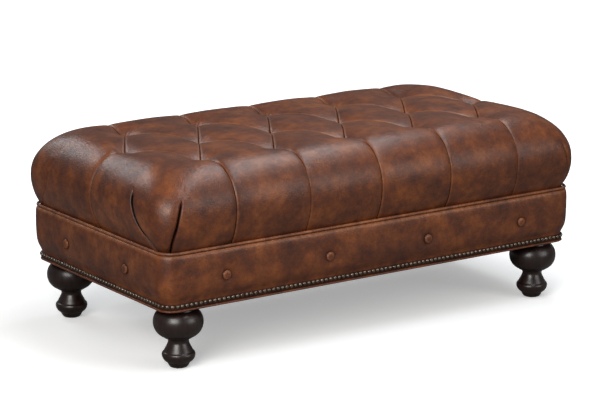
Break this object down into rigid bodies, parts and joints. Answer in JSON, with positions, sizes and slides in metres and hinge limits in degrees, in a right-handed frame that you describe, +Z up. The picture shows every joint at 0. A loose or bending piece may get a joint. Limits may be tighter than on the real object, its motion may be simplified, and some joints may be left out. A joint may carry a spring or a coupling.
{
  "type": "ottoman coffee table",
  "caption": "Rectangular ottoman coffee table with a diamond-tufted leather pad, welted and buttoned band, nailhead trim and turned bun-and-ring legs.",
  "frame": {"origin": "on the floor under the centre of the table", "axes": "+X along the long side, -Y to the front, +Z up"},
  "size_m": [1.248, 0.668, 0.482],
  "materials": {
    "leather": "antiqued, satin",
    "welt_leather": "satin",
    "foam": "open-cell foam",
    "wadding": "fibre",
    "twine": "waxed twine",
    "frame_wood": "raw",
    "leg_wood": "dark stain, semi-gloss",
    "steel": "zinc plated",
    "nail_metal": "antique pewter",
    "cambric": "woven",
    "glide": "matte"
  },
  "bodies": {
    "root": {"pad_cover": "leather", "foam_core": "foam", "tuft_washers": "steel", "tuft_twines": "twine", "deck_washers": "steel", "deck_panel": "frame_wood", "deck_screws": "steel", "rail_front": "frame_wood", "rail_back": "frame_wood", "rail_left": "frame_wood", "rail_right": "frame_wood", "stretcher_left": "frame_wood", "stretcher_right": "frame_wood", "corner_dowels": "frame_wood", "frame_screws": "steel", "leg_blocks": "frame_wood", "leg_tee_nuts": "steel", "hanger_bolts": "steel", "legs": "leg_wood", "foot_glides": "glide", "band_cover": "leather", "band_padding": "wadding", "band_buttons": "leather", "welt_cord": "welt_leather", "nail_strip": "welt_leather", "nails": "nail_metal", "dust_cover": "cambric"}
  },
  "joints": []
}
